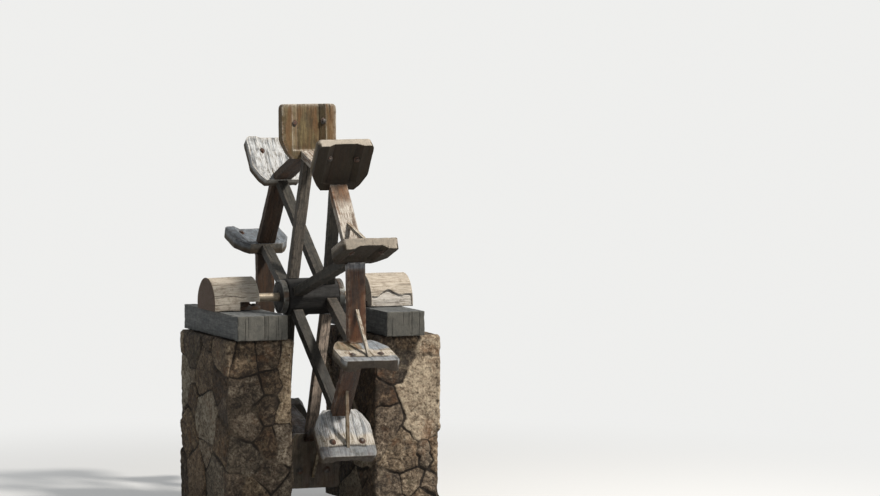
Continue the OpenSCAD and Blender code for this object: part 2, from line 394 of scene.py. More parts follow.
def paddle_states(k, place, tip):
    """State of a paddle at each place on it, and how near a groove or crease is, which is also marked dark as
    painted shade.
    """
    face, back, outer = shares(PADDLE_STATES[k])
    x = place[:, 0]
    off = np.abs(x)
    on_face = smooth(place[:, 2], -0.012, 0.012)
    inward = tip - place[:, 1]
    groove_and_shade = np.zeros(len(place))
    state = np.broadcast_to(back, (len(place), 4))
    if k in WORN_BACKS:
        line, width, dry_end, dry, strip = WORN_BACKS[k]
        bent = inward + 0.003 * line_noise(22 * x, k)
        ragged = inward + 0.014 * noise(place * [30, 14, 0], k + 1)
        inside = smooth(bent, line - 0.003, line + 0.003)
        beyond = smooth(ragged, dry_end - 0.012, dry_end + 0.012)
        state = blend(state, shares(dry), inside * (1 - beyond))
        state = blend(state, shares(strip), 1 - inside)
        # The groove is sunk in and marked dark like a crack: painted shade in the groove.
        groove_and_shade = ridge(bent - line, width) * (off < GROOVE_HALF) * (1 - on_face)
        if k == 6:
            # Further in, this back is dry and brown on one side of its strut.
            brown = smooth(0.010 * noise(place * [20, 12, 0], 3) - x, -0.006, 0.006)
            state = blend(state, shares(BROWN_STATE), brown * beyond)
    state = blend(state, face, on_face)
    length = smooth(inward, 0.0, 0.004) * (1 - smooth(inward, TROUGH_L - 0.004, TROUGH_L))
    # Creases along the edges of the hollow's floor are sunk a little and marked dark: painted shade in the
    # creases. Thin pale lines along the hollow's lips are a painted highlight.
    crease_and_shade = ridge(off - TROUGH_FLOOR_W / 2, 0.0022) * length * on_face
    lip_highlight = ridge(off - TROUGH_W / 2 - 0.001, 0.0026) * length * on_face
    groove_and_shade = np.maximum(groove_and_shade, 0.45 * crease_and_shade)
    worn = np.clip(state[:, 0] + 0.45 * lip_highlight, 0, 1)
    if k == 3:
        # The wall at negative x, which faces the light, is painted a little paler as a painted highlight, and
        # the other wall darker as painted shade.
        wall = smooth(off, TROUGH_FLOOR_W / 2 - 0.002, TROUGH_FLOOR_W / 2 + 0.002) * on_face * length
        wall = wall * (1 - smooth(off, TROUGH_W / 2 - 0.002, TROUGH_W / 2 + 0.002))
        worn = np.clip(worn + 0.10 * wall * (x < 0), 0, 1)
        state = state + np.array([0, 0, 0.45, 0]) * (wall * (x > 0))[:, None]
        # The outer and right edges and the inner end of the hollow are painted pale too: painted highlight
        # where they face the light.
        crest_highlight = np.exp(-np.maximum(inward, 0) / 0.007)
        crest_highlight = np.maximum(crest_highlight, np.exp(-(PADDLE_W / 2 - x) / 0.007))
        ledge = ridge(inward - TROUGH_L, 0.004) * (off < TROUGH_W / 2)
        worn = np.clip(worn + np.maximum(0.95 * crest_highlight, 0.75 * ledge) * on_face, 0, 1)
    state = np.concatenate([worn[:, None], state[:, 1:]], 1)
    return blend(state, outer, smooth(-inward, -0.004, -0.001)), groove_and_shade


def paddle(k, material):
    rng = np.random.default_rng(40 + k)
    half = (PADDLE_W / 2, (WHEEL_R - NECK_R) / 2, PADDLE_T / 2)
    middle = (WHEEL_R + NECK_R) / 2
    ledge = WHEEL_R - TROUGH_L - middle
    tip = half[1]
    rows = [ledge - 0.003, ledge, ledge + 0.004, tip - 0.010, tip - 0.016, tip - CORNER_R]
    if k in WORN_BACKS:
        rows += [tip - WORN_BACKS[k][0] + shift for shift in np.linspace(-0.015, 0.015, 13)]
    creases = [side * (at + shift) for side in (-1, 1) for at in (TROUGH_FLOOR_W / 2, TROUGH_W / 2)
               for shift in (-0.001, 0.001)]
    margin = TROUGH_W / 2 + 0.002
    twist = rng.uniform(-0.004, 0.004)

    def shape(q):
        out = q[:, 1] + middle
        width = paddle_half_width(out)
        kept = np.minimum(margin, 0.85 * width)
        x = np.abs(q[:, 0])
        beyond = kept + (x - margin) * (width - kept) / (half[0] - margin)
        across = np.sign(q[:, 0]) * np.where(x < margin, x * kept / margin, beyond)
        hollow = trough_depth(across, out) * (q[:, 2] + half[2]) / PADDLE_T
        bend = twist * (across / half[0]) * smooth(out, NECK_R, WHEEL_R)
        return on_wheel(across, out, (q[:, 2] - hollow) * THICKNESS_LEFT + bend * 0.4, paddle_angle(k))

    cracks = random_cracks(rng, half, 6, (0.04, 0.14), (0.002, 0.005))
    points, quads, marks = plank(half, (0.0045, 0.012, 0.010), 0.0045, 40 + k, shape, (creases, rows), cracks,
                                 furrow=0.0007, wave=0.0010, chips=0.0035)
    state, groove_and_shade = paddle_states(k, marks["place"], tip)
    # Grooves and creases are marked dark like cracks: painted shade.
    marks["wear"][:, 2] = np.maximum(marks["wear"][:, 2], groove_and_shade)
    data = with_state((sunk(points, quads, GROOVE_D * groove_and_shade), quads, marks), *state.T)
    piece(f"paddle_{k}_plank", data, material, "wheel", [f"paddle_{k}"])


# Bleached, wet and dark for each rim board, and for the spokes that differ from the rest. The dark shares are
# partly dark wet wood and partly painted shade; spoke 8's bleach is partly a painted highlight.
RIM_STATES = {
    1: (0, 10, 78), 2: (0, 10, 70), 3: (10, 0, 45), 4: (92, 0, 0), 5: (0, 90, 0),
    6: (0, 95, 40), 7: (0, 80, 60), 8: (0, 70, 60), 9: (0, 50, 60), 10: (0, 20, 75),
}
SPOKE_STATES = {3: (20, 0, 10), 6: (20, 50, 20), 7: (10, 25, 45), 8: (85, 0, 0)}
SPOKE_COMMON = (8, 10, 25)


def rim_board(k, material):
    middle = RIM_R - RIM_T / 2
    half = (RIM_W / 2, board_half(middle), RIM_T / 2)

    def shape(q):
        out = middle + q[:, 2]
        return on_wheel(q[:, 0], out, q[:, 1] * board_half(out) / half[1], paddle_angle(k) + PITCH / 2)

    cracks = random_cracks(np.random.default_rng(140 + k), half, 5)
    data = plank(half, (0.0040, 0.012, 0.009), 0.0035, 140 + k, shape, cracks=cracks,
                 furrow=0.0008, wave=0.0012, chips=0.004)
    bleach, wet, shade = shares(RIM_STATES[k])
    silver = 0.0
    along = data[2]["place"][:, 1]
    if k == 3:
        # The upper half of this board is bleached.
        lower = smooth(along, -0.05, 0.03)
        bleach = 0.90 - 0.80 * lower
        shade = shade * lower
    if k == 4:
        # The upper third of this board is less bleached.
        bleach = 0.08 + 0.84 * smooth(along, -0.12, -0.05)
    if k == 5:
        # The upper end of this board, below paddle 5, is painted blue-grey: painted shadow of paddle 5 with a
        # painted sky reflection.
        silver = 0.9 * (1 - smooth(along, -0.175, -0.150))
    data = with_state(data, bleach, wet, shade, silver)
    piece(f"rim_board_{k}_plank", data, material, "wheel", [f"rim_board_{k}"])


def spoke(k, material):
    foot_x = (-1 if k % 2 else 1) * SPOKE_SPREAD
    length = NECK_R - HUB_FLAT_R
    lean = math.atan2(SPOKE_SPREAD, length)
    half = (SPOKE_W / 2, length / 2, SPOKE_T / 2)

    def shape(q):
        along = q[:, 1] / length + 0.5
        x = q[:, 0] / math.cos(lean) + foot_x * (1 - along)
        return on_wheel(x, HUB_FLAT_R + along * length, q[:, 2], paddle_angle(k))

    cracks = random_cracks(np.random.default_rng(240 + k), half, 4, (0.08, 0.30))
    data = plank(half, (0.0042, 0.016, 0.0042), 0.004, 240 + k, shape, cracks=cracks,
                 furrow=0.0008, wave=0.0012, chips=0.003)
    data = with_state(data, *shares(SPOKE_STATES.get(k, SPOKE_COMMON)))
    piece(f"spoke_{k}_timber", data, material, "wheel", [f"spoke_{k}"])


def struts(material):
    """Ten slanted bars between the paddles' backs and the rim, in one piece."""
    foot = np.array([WHEEL_R - STRUT_FOOT, PADDLE_T / 2])
    reach = PADDLE_T / 2 + STRUT_REACH
    head = np.array([(RIM_R - reach * math.sin(HALF_PITCH)) / math.cos(HALF_PITCH), reach])
    run = (head - foot) / np.linalg.norm(head - foot)
    rim_dir = np.array([-math.sin(HALF_PITCH), math.cos(HALF_PITCH)])
    foot_half = np.array([STRUT_H / 2 / run[1], 0])
    head_half = rim_dir * STRUT_H / 2 / abs(rim_dir[0] * run[1] - rim_dir[1] * run[0])
    length = float(np.linalg.norm(head - foot))
    half = (STRUT_T / 2, length / 2, STRUT_H / 2)
    parts = []
    for k in range(1, PADDLE_COUNT + 1):
        def shape(q):
            along = (q[:, 1] / length + 0.5)[:, None]
            side = (q[:, 2] / half[2])[:, None]
            spot = (1 - along) * (foot + side * foot_half) + along * (head + side * head_half)
            return on_wheel(q[:, 0], spot[:, 0], -spot[:, 1], paddle_angle(k))

        data = plank(half, (0.0040, 0.012, 0.0045), 0.002, 340 + k, shape,
                     furrow=0.0005, wave=0.0006, chips=0.002)
        # The struts of paddles 5 and 6 are pale, partly bleached wood and partly painted highlight; the
        # others are darker, partly painted shade.
        bleach, shade = (0.75, 0.0) if k in (5, 6) else (0.15, 0.3)
        parts.append(with_state(data, bleach, 0.0, shade))
    piece("strut_bars", joined(parts), material, "wheel", ["paddle_struts"])


def sleeper(side, material):
    half = (SLEEPER_W[side] / 2, SLEEPER_L / 2, SLEEPER_H / 2)
    centre = np.array([side * (SLEEPER_IN + half[0]), 0, PIER_TOP + half[2]])
    cracks = random_cracks(np.random.default_rng(440 + side), half, 12, (0.03, 0.25), (0.006, 0.018))
    if side < 0:
        cracks += [(0.010, -1, 0.16, 0.0022, 0.016, 1), (0.031, -1, 0.11, 0.0018, 0.014, 1)]
    data = plank(half, (0.006, 0.014, 0.006), 0.009, 440 + side, lambda q: q + centre, cracks=cracks,
                 furrow=0.0012, wave=0.0020, chips=0.008)
    # Both sleepers carry a dark share, the right one more: partly dark weathered wood, partly painted shade.
    data = with_state(data, 0.15, 0.05, 0.20 if side < 0 else 0.38, 0.45)
    name = f"{SIDES[side]}_sleeper"
    piece(f"{name}_timber", data, material, "stand", [name])


def hub(material):
    """Ten-sided hub with round ends and a bore, as one closed ring of loops."""
    body, full = HUB_BODY_L / 2, HUB_BODY_L / 2 + HUB_END_L
    bore = AXLE_R + HUB_PLAY
    half = [(full, bore), (full, 0.050), (full, HUB_END_R - 0.003), (full - 0.003, HUB_END_R),
            (body + 0.001, HUB_END_R), (body, HUB_END_R + 0.003), (body, HUB_FLAT_R - 0.004)]
    flats = [(x, HUB_FLAT_R) for x in np.linspace(-body + 0.004, body - 0.004, 30)]
    xs, rs = np.array([(-x, r) for x, r in half] + flats + half[::-1] + [(0, bore)]).T
    count = 120
    theta = np.linspace(0, 2 * math.pi, count, endpoint=False)
    flat = (theta - math.radians(REST_ANGLE) + HALF_PITCH) % (2 * HALF_PITCH) - HALF_PITCH
    facet = 1 / np.cos(np.clip(np.abs(flat), 0, HALF_PITCH * 0.93))
    faceted = smooth(rs, HUB_END_R + 0.001, HUB_END_R + 0.004)
    r = rs[:, None] * (1 + (facet[None, :] - 1) * faceted[:, None])
    x = np.broadcast_to(xs[:, None], r.shape)
    points = np.stack([x, r * np.cos(theta), AXLE_Z + r * np.sin(theta)], -1).reshape(-1, 3)
    index = np.pad(np.arange(len(points)).reshape(r.shape), ((0, 1), (0, 1)), mode="wrap")
    quads = outward(points - [0, 0, AXLE_Z], sheet_quads(index))
    grain = np.stack([points[:, 1], points[:, 0], points[:, 2] - AXLE_Z], -1)
    depth = 0.0012 * (1 + fractal(grain * [140, 6, 140], 31, 2)) * (np.repeat(rs, count) > bore + 0.01)
    points = sunk(points, quads, depth)
    end = np.abs(np.repeat(xs, count)) > full - 1e-6
    marks = {"grain": grain + 5.3, "place": grain, "wear": np.stack([end, 0 * depth, 0 * depth], -1)}
    # The hub's dark share is partly dark wet wood, partly painted shade.
    data = with_state((points, quads, marks), 0.0, 0.25, 0.7)
    piece("hub_timber", data, material, "wheel", ["hub"])


# Bearing covers

HEART_Z = 0.055
BEVEL, HALF_BEVEL = 0.006, 0.0018


def cover_marks(local, side, seed, cracks):
    """Marks of a cover at places along it, across it and above its sleeper, and how deep it has worn."""
    inner, outer = COVER_SPAN[side]
    x, y, z = local.T
    angle = np.arctan2(y, z - COVER_RISE)
    grain = np.stack([y, x, z], -1)
    end = ((x < inner + 0.0045) | (x > outer - 0.0045)).astype(float)
    crack_and_shade = np.zeros(len(local))
    sway = 0.02 * line_noise(x * 16, seed + 3)
    for at, reach, which in cracks:
        from_end = outer - x if which > 0 else x - inner
        fade = np.clip(1 - from_end / reach, 0, 1) ** 0.5
        crack_and_shade = np.maximum(crack_and_shade, ridge(angle - (at + sway), 0.010) * fade)
    crack_and_shade = crack_and_shade * (1 - end * (1 - smooth(np.hypot(y, z - HEART_Z), 0.045, 0.095)))
    depth = 0.0030 * (1 + noise(grain * [14, 5, 14], seed))
    depth += 0.0008 * (1 + fractal(grain * [120, 6, 120], seed + 1, 2))
    depth += 0.0060 * crack_and_shade
    front = smooth(-y, 0.02, 0.05) * (1 - end)
    low = np.zeros(len(local))
    if side > 0:
        # A ragged edge, below which the outer layer of the wood has broken away
        place = x - inner
        edge = 0.058 + 0.030 * ridge(place - 0.105, 0.045) + 0.010 * smooth(place, 0.15, 0.22)
        edge = edge + 0.005 * line_noise(x * 60, 9)
        low = smooth(edge - z, -0.0012, 0.0012) * front
        # A slot just below the ragged edge, sunk in and marked dark: painted shadow under the overhanging
        # layer.
        shadowed_slot = ridge(edge - 0.004 - z, 0.004) * front * smooth(edge, 0.064, 0.080)
        crack_and_shade = np.maximum(crack_and_shade, shadowed_slot)
        depth += 0.0085 * low + 0.006 * shadowed_slot
    else:
        # A fine split along the front
        edge = 0.074 + 0.006 * line_noise(x * 22, 12)
        line = ridge(edge - z, 0.0022) * front * smooth(x, inner + 0.06, inner + 0.10)
        crack_and_shade = np.maximum(crack_and_shade, line * 0.8)
        depth += 0.003 * line
    # The outer end face of the left cover is brown and darker: end grain, and painted shade.
    brown = end * smooth(x, inner, outer) * (side < 0)
    # The right cover is less pale than the left, partly painted shade.
    common = 1.0 if side < 0 else 0.8
    marks = {
        "grain": grain + seed * 0.7,
        "place": grain,
        "wear": np.stack([end, 0 * x, crack_and_shade], -1),
        "state": np.stack([common * (1 - brown) + 0.2 * low, 0 * x, 0.30 * brown], -1),
        "silver": 0.35 * low,
    }
    return marks, depth * (1 - 0.7 * end)


def cover(side, material):
    """Half-log cover: a D-shaped closed log, cracked and split, then hollowed for the bearing."""
    seed = 540 + side
    rng = np.random.default_rng(seed)
    limit = math.acos(-COVER_RISE / COVER_R)
    cracks = [(rng.uniform(-0.9, 0.9) * limit, rng.uniform(0.05, 0.16), rng.choice([-1, 1]))
              for _ in range(9)]
    arc = np.linspace(-limit, limit, 210)
    flat = np.linspace(1, -1, 26)[1:-1] * COVER_R * math.sin(limit)
    loop_y = np.concatenate([COVER_R * np.sin(arc), flat])
    loop_z = np.concatenate([COVER_RISE + COVER_R * np.cos(arc), 0 * flat])
    on_arc = np.concatenate([np.ones(len(arc)), 0 * flat])
    inner, outer = COVER_SPAN[side]
    stations = [(inner, BEVEL), (inner + HALF_BEVEL, HALF_BEVEL)]
    stations += [(x, 0.0) for x in np.linspace(inner + BEVEL, outer - BEVEL, 80)]
    stations += [(outer - HALF_BEVEL, HALF_BEVEL), (outer, BEVEL)]
    scales = (0.04, 0.25, 0.45, 0.62, 0.76, 0.87, 0.95)
    rings = [(stations[0], scale) for scale in scales] + [(station, 1.0) for station in stations]
    rings += [(stations[-1], scale) for scale in reversed(scales)]
    rows, weights = [], []
    for (x, inset), scale in rings:
        y = loop_y * (1 - inset / COVER_R) * scale
        z = HEART_Z + (loop_z - HEART_Z) * (1 - inset / COVER_R) * scale
        rows.append(np.stack([np.full(len(y), x), y, z], -1))
        weights.append(on_arc * scale + 0.7 * (1 - scale))
    local = np.concatenate(rows)
    marks, depth = cover_marks(local, side, seed, cracks)
    world = local * [side, 1, 1] + [0, 0, SLEEPER_TOP]
    quads, caps = tube_faces(world, len(rings), [side * (inner + outer) / 2, 0, SLEEPER_TOP])
    world = sunk(world, quads, depth * np.concatenate(weights))
    name = f"{SIDES[side]}_cover"
    obj = piece(f"{name}_log", (world, quads, marks), material, "stand", [name], caps)
    hollow_out(obj, side)
    cut = np.array([v.co for v in obj.data.vertices])
    set_marks(obj.data, cover_marks((cut - [0, 0, SLEEPER_TOP]) * [side, 1, 1], side, seed, cracks)[0])


def hollow_out(obj, side):
    """Cuts the room for the bearing, and on the left the notch too, out of a cover."""
    over = 0.02
    start = COVER_SPAN[side][0] - over
    cuts = [
        (HOLLOW_END, BEARING_W / 2 + COVER_GAP, AXLE_RISE + BEARING_TOP + COVER_GAP),
        (HOLLOW_END, PLATE_W / 2 + COVER_GAP, PLATE_T + COVER_GAP),
    ]
    if side < 0:
        cuts.append((NOTCH_END, COVER_R + over, NOTCH_H))
    for stop, half_y, height in cuts:
        xs = np.array(sorted([side * start, side * stop]))
        ys = np.array([-half_y, half_y])
        zs = np.array([SLEEPER_TOP - over, SLEEPER_TOP + height])
        points, quads = box_grid(xs, ys, zs)
        mesh = bpy.data.meshes.new("cut")
        mesh.from_pydata(points.tolist(), [], quads.tolist())
        tool = added("cut", mesh)
        cut = obj.modifiers.new("cut", "BOOLEAN")
        cut.operation = "DIFFERENCE"
        cut.solver = "EXACT"
        cut.object = tool
        dg = bpy.context.evaluated_depsgraph_get()
        baked = bpy.data.meshes.new_from_object(obj.evaluated_get(dg), depsgraph=dg)
        obj.modifiers.clear()
        old = obj.data
        obj.data = baked
        bpy.data.objects.remove(tool)
        bpy.data.meshes.remove(mesh)
        bpy.data.meshes.remove(old)


# Piers

# Stones of each pier's front: tone, then places across from the pier's middle and up, in millimetres.
# Several places make one stone.
FRONT_STONES = {
    -1: [
        (0.75, [(150, 790), (155, 700), (150, 610), (145, 520)]),
        (0.30, [(40, 810)]),
        (0.35, [(-90, 800)]),
        (0.25, [(60, 680)]),
        (0.40, [(-60, 640), (-130, 610)]),
        (0.22, [(40, 540)]),
        (0.45, [(-70, 460)]),
        (0.60, [(140, 400), (150, 330)]),
        (0.28, [(40, 370)]),
        (0.38, [(-130, 310), (-70, 290)]),
        (0.32, [(60, 190)]),
        (0.50, [(-40, 110)]),
        (0.40, [(150, 110)]),
        (0.30, [(-150, 130)]),
    ],
    # The right pier's stones next to the wheel have low tones: partly wet stone, partly painted shade of the
    # wheel.
    1: [
        (0.95, [(-28, 600), (7, 525), (42, 450), (75, 400), (22, 677), (60, 740), (105, 750), (155, 750),
                (140, 660), (80, 600), (155, 570), (105, 500), (155, 480), (135, 420)]),
        (0.80, [(95, 825), (155, 820), (125, 870)]),
        (0.42, [(0, 855), (10, 875)]),
        (0.16, [(-42, 703), (0, 790), (-60, 770), (-90, 700)]),
        (0.28, [(-130, 840)]),
        (0.14, [(-92, 570), (-150, 600)]),
        (0.48, [(-57, 495), (-125, 460), (-100, 415), (-140, 365), (-150, 310)]),
        (0.52, [(-18, 365), (-50, 320), (20, 310), (-90, 250), (-20, 250), (35, 240)]),
        (0.50, [(88, 300), (105, 240)]),
        (0.62, [(168, 330), (170, 270), (168, 210)]),
        (0.35, [(-135, 140), (-80, 110)]),
        (0.58, [(10, 120), (50, 160)]),
        (0.45, [(130, 130)]),
        (0.40, [(70, 40)]),
        (0.30, [(-40, 20)]),
    ],
}
JOINT_D = 0.018
PLACED_R = 0.070
PIER_CORNER_R = 0.022
PIER_STEP = 0.0062


def perimeter(half_x, half_y, r, step):
    """Closed outline of a rounded rectangle: places, outward directions and distance along it."""
    places, directions = [], []
    corners = [(1, -1), (1, 1), (-1, 1), (-1, -1)]
    for n, (sx, sy) in enumerate(corners):
        start = -math.pi / 2 + n * math.pi / 2
        turn = np.linspace(start, start + math.pi / 2, 8)
        centre = np.array([sx * (half_x - r), sy * (half_y - r)])
        ray = np.stack([np.cos(turn), np.sin(turn)], -1)
        places.append(centre + ray * r)
        directions.append(ray)
        nx, ny = corners[(n + 1) % 4]
        after = np.array([nx * (half_x - r), ny * (half_y - r)]) + ray[-1] * r
        length = np.linalg.norm(after - places[-1][-1])
        count = round(length / step)
        share = (np.arange(1, count) / count)[:, None]
        places.append(places[-1][-1] + (after - places[-1][-1]) * share)
        directions.append(np.repeat(ray[-1:], count - 1, 0))
    places = np.concatenate(places)
    gaps = np.linalg.norm(np.diff(places, axis=0), axis=1)
    return places, np.concatenate(directions), np.concatenate([[0], np.cumsum(gaps)])


def stone_seeds(side, total, front_s, rng):
    """Seeds of the stones round a pier: distance along the outline, height, radius, stone number and tone."""
    seeds = []
    for stone, (tone, places) in enumerate(FRONT_STONES[side]):
        for across, height in places:
            seeds.append((front_s + across / 1000, height / 1000, PLACED_R, stone, tone))
    # Stones of mixed sizes on the other faces, the large ones first
    for radius in np.linspace(0.155, 0.040, 2400):
        s, height = rng.uniform(0, total), rng.uniform(0, PIER_TOP)
        away = abs((s - front_s + total / 2) % total - total / 2)
        if away < PIER_W / 2 + 0.5 * radius:
            continue
        others = np.array(seeds)
        gap = np.abs(others[:, 0] - s)
        gap = np.minimum(gap, total - gap)
        room = np.hypot(gap, (others[:, 1] - height) * 1.25) - others[:, 2] - radius
        if room.min() > -0.2 * radius:
            stone += 1
            seeds.append((s, height, radius, stone, rng.uniform(0.1, 0.9)))
    return np.array(seeds)


def stone_relief(s, height, seeds, total, seed):
    """At places on a pier's outline: depth below its faces, then tone, joint share, hue and joint depth."""
    spot = np.stack([s * 14, height * 14, np.zeros(len(s))], -1)
    bent_s = s + 0.012 * noise(spot * 0.7, seed) + 0.0035 * fractal(spot * 4, seed + 1, 3)
    bent_h = height + 0.012 * noise(spot * 0.7, seed + 2) + 0.0035 * fractal(spot * 4, seed + 3, 3)
    across = np.abs(bent_s[:, None] - seeds[None, :, 0])
    across = np.minimum(across, total - across)
    power = across ** 2 + (bent_h[:, None] - seeds[None, :, 1]) ** 2 - seeds[None, :, 2] ** 2
    rows = np.arange(len(s))
    nearest = power.argmin(1)
    first = power[rows, nearest]
    stone = seeds[nearest, 3]
    power[stone[:, None] == seeds[None, :, 3]] = 1e9
    other = power.argmin(1)
    second = power[rows, other]
    apart = np.abs(seeds[nearest, 0] - seeds[other, 0])
    apart = np.hypot(np.minimum(apart, total - apart), seeds[nearest, 1] - seeds[other, 1])
    border = (second - first) / (2 * np.maximum(apart, 0.04))
    width = 0.0030 + 0.0036 * noise(spot * 0.6, seed + 4)
    swell = smooth(border, width, width + 0.0085)
    filled = smooth(noise(spot * 0.45, seed + 10), -0.10, 0.60)
    cell = np.stack([stone, 0 * stone, 0 * stone], -1).astype(np.int64)
    proud = 0.008 * lattice(cell, seed + 5)
    lean = (lattice(cell, seed + 6) - 0.5) * 0.12 * (s - seeds[nearest, 0])
    lean += (lattice(cell, seed + 12) - 0.5) * 0.12 * (height - seeds[nearest, 1])
    rough = 0.0030 * (1 + fractal(spot * 1.6 + stone[:, None], seed + 7, 4))
    rough += 0.0050 * np.abs(noise(spot * 2.9 + stone[:, None] * 3, seed + 13))
    pits = 0.005 * np.clip(noise(spot * 3.5, seed + 8) - 0.25, 0, 1)
    face = np.clip(proud + lean, 0, 0.014) + rough + pits
    bed = face + (JOINT_D - face) * (1 - 0.85 * filled) + 0.002 * noise(spot * 5, seed + 9)
    depth = np.maximum(bed + (face - bed) * swell, 0)
    return depth, seeds[nearest, 4], 1 - swell, lattice(cell, seed + 11), (1 - swell) * (1 - filled)


def pier(side, material):
    """Rubble masonry: stones stand proud of the joints round all four faces, with a rough top."""
    seed = 640 + side
    places, directions, along = perimeter(PIER_W / 2, PIER_L / 2, PIER_CORNER_R, PIER_STEP)
    total = along[-1] + np.linalg.norm(places[-1] - places[0])
    # The outline starts at the right end of the front face.
    front_s = total - (PIER_W / 2 - PIER_CORNER_R)
    seeds = stone_seeds(side, total, front_s, np.random.default_rng(seed))
    s, z = np.meshgrid(along, np.linspace(0, PIER_TOP, round(PIER_TOP / PIER_STEP) + 1))
    depth, tone, joint, hue, deep = stone_relief(s.ravel(), z.ravel(), seeds, total, seed)
    top_round = 0.012 * smooth(z.ravel(), PIER_TOP - 0.02, PIER_TOP) ** 2
    depth = (depth + top_round).reshape(s.shape)
    ring_x = places[None, :, 0] - directions[None, :, 0] * depth
    ring_y = places[None, :, 1] - directions[None, :, 1] * depth
    wall = np.stack([ring_x, ring_y, z], -1)
    bottom = [wall[0] * [share, share, 0] for share in (0.06, 0.5)]
    top = []
    for share in (0.96, 0.9, 0.8, 0.68, 0.55, 0.42, 0.3, 0.18, 0.06):
        x, y = wall[-1, :, 0] * share, wall[-1, :, 1] * share
        dip = 0.004 + 0.004 * noise(np.stack([x * 16, y * 16, 0 * x], -1), seed + 20)
        top.append(np.stack([x, y, PIER_TOP - dip * smooth(1 - share, 0, 0.06)], -1))
    rings = np.concatenate([bottom, wall, top])
    middle = side * (PIER_IN + PIER_W / 2)
    points = rings.reshape(-1, 3) + [middle, 0, 0]
    quads, caps = tube_faces(points, len(rings), [middle, 0, PIER_TOP / 2])
    under, over = len(bottom) * len(places), len(top) * len(places)
    foot = np.tile([0.3, 1, 0.5], (under, 1))
    crown = np.tile([0.45, 0.8, 0.5], (over, 1))
    stone = np.concatenate([foot, np.stack([tone, joint, hue], -1), crown])
    marks = {"stone": stone, "deep": np.pad(deep, (under, over))}
    name = f"{SIDES[side]}_pier"
    piece(f"{name}_masonry", (points, quads, marks), material, "stand", [name], caps)


# Bolts

BOLT_X = 0.078
BOLT_IN = 0.094
BOLT_SHIFT = 0.006
TOE_BOLT_Y = 0.048
WEAR_SINK = 0.0022


def lathe(profile, count, corner=None):
    """Points and quads of a solid of revolution about z; corner makes it many-sided."""
    theta = np.linspace(0, 2 * math.pi, count, endpoint=False)
    stretch = np.ones(count)
    if corner:
        part = 2 * math.pi / corner
        stretch = math.cos(part / 2) / np.cos((theta + part / 2) % part - part / 2)
    rows = [np.stack([r * stretch * np.cos(theta), r * stretch * np.sin(theta), np.full(count, z)], -1)
            for r, z in profile]
    index = np.pad(np.arange(len(profile) * count).reshape(-1, count), ((0, 0), (0, 1)), mode="wrap")
    strip = np.arange(count // 2 - 1)
    cap = np.stack([strip, strip + 1, count - 2 - strip, count - 1 - strip], -1)
    far_cap = cap[:, ::-1] + (len(profile) - 1) * count
    return np.concatenate(rows), np.concatenate([sheet_quads(index), cap, far_cap])


def bolt_parts(kind):
    """A washer with a domed or a six-sided head on it, standing on z = 0."""
    tiny = 0.0002
    washer = [(tiny, 0), (0.0175, 0), (0.0180, 0.0006), (0.0180, 0.0022), (0.0172, 0.0030), (tiny, 0.0030)]
    if kind == "dome":
        turn = np.linspace(0, math.pi / 2, 7)
        dome = [(tiny, 0.003)] + [(0.0125 * math.cos(a) + tiny, 0.003 + 0.0075 * math.sin(a)) for a in turn]
        return [lathe(washer, 32), lathe(dome, 32)]
    nut = [(tiny, 0.003), (0.0120, 0.003), (0.0120, 0.0100), (0.0108, 0.0118), (tiny, 0.0118)]
    return [lathe(washer, 32), lathe(nut, 36, 6)]


def placed(part, origin, axis, spin=0.0):
    """A part moved so that its z axis points along axis from origin."""
    points, quads = part
    z = np.array(axis, dtype=float)
    z = z / np.linalg.norm(z)
    x = np.cross([0.0, 0.0, 1.0] if abs(z[2]) < 0.9 else [1.0, 0.0, 0.0], z)
    x = x / np.linalg.norm(x)
    y = np.cross(z, x)
    c, s = math.cos(spin), math.sin(spin)
    x, y = c * x + s * y, c * y - s * x
    moved = points[:, :1] * x + points[:, 1:2] * y + points[:, 2:] * z + np.array(origin)
    return moved, outward(moved - moved.mean(0), quads), {}


def paddle_bolts(material):
    """Two bolts through each paddle near its outer end, with a domed head behind and a nut in the hollow."""
    parts = []
    for k in range(1, PADDLE_COUNT + 1):
        rng = np.random.default_rng(740 + k)
        a = math.radians(paddle_angle(k))
        turn_dir = np.array([0, -math.sin(a), math.cos(a)])
        for side in SIDES:
            x = side * BOLT_X + rng.uniform(-BOLT_SHIFT, BOLT_SHIFT)
            out = WHEEL_R - BOLT_IN + rng.uniform(-BOLT_SHIFT, BOLT_SHIFT)
            surface = PADDLE_T / 2 * THICKNESS_LEFT
            face = on_wheel(x, out, surface - trough_depth(x, out) - WEAR_SINK, paddle_angle(k))
            back = on_wheel(x, out, WEAR_SINK - surface, paddle_angle(k))
            parts += [placed(part, face, turn_dir, rng.uniform(0, 1)) for part in bolt_parts("nut")]
            parts += [placed(part, back, -turn_dir) for part in bolt_parts("dome")]
    piece("paddle_bolts", joined(parts), material, "wheel")


def bearing_bolts(material):
    """Two bolts through the toe of each bearing's base plate."""
    parts = []
    for side in SIDES:
        for y in (-TOE_BOLT_Y, TOE_BOLT_Y):
            place = (side * (PLATE_IN + BEARING_IN) / 2, y, SLEEPER_TOP + PLATE_T - 0.0005)
            parts += [placed(part, place, (0, 0, 1), 0.4 + y) for part in bolt_parts("nut")]
    piece("bearing_bolts", joined(parts), material, "stand")


# Materials

def linear(colour):
    """A colour as nodes take it. Three numbers are a screen colour, 0 to 255, and four stay as they are."""
    if len(colour) == 4:
        return colour
    screen = [v / 255 for v in colour]
    return (*(v / 12.92 if v <= 0.04045 else ((v + 0.055) / 1.055) ** 2.4 for v in screen), 1.0)


def dimmed(colour, share):
    return tuple(v * share for v in linear(colour)[:3]) + (1.0,)


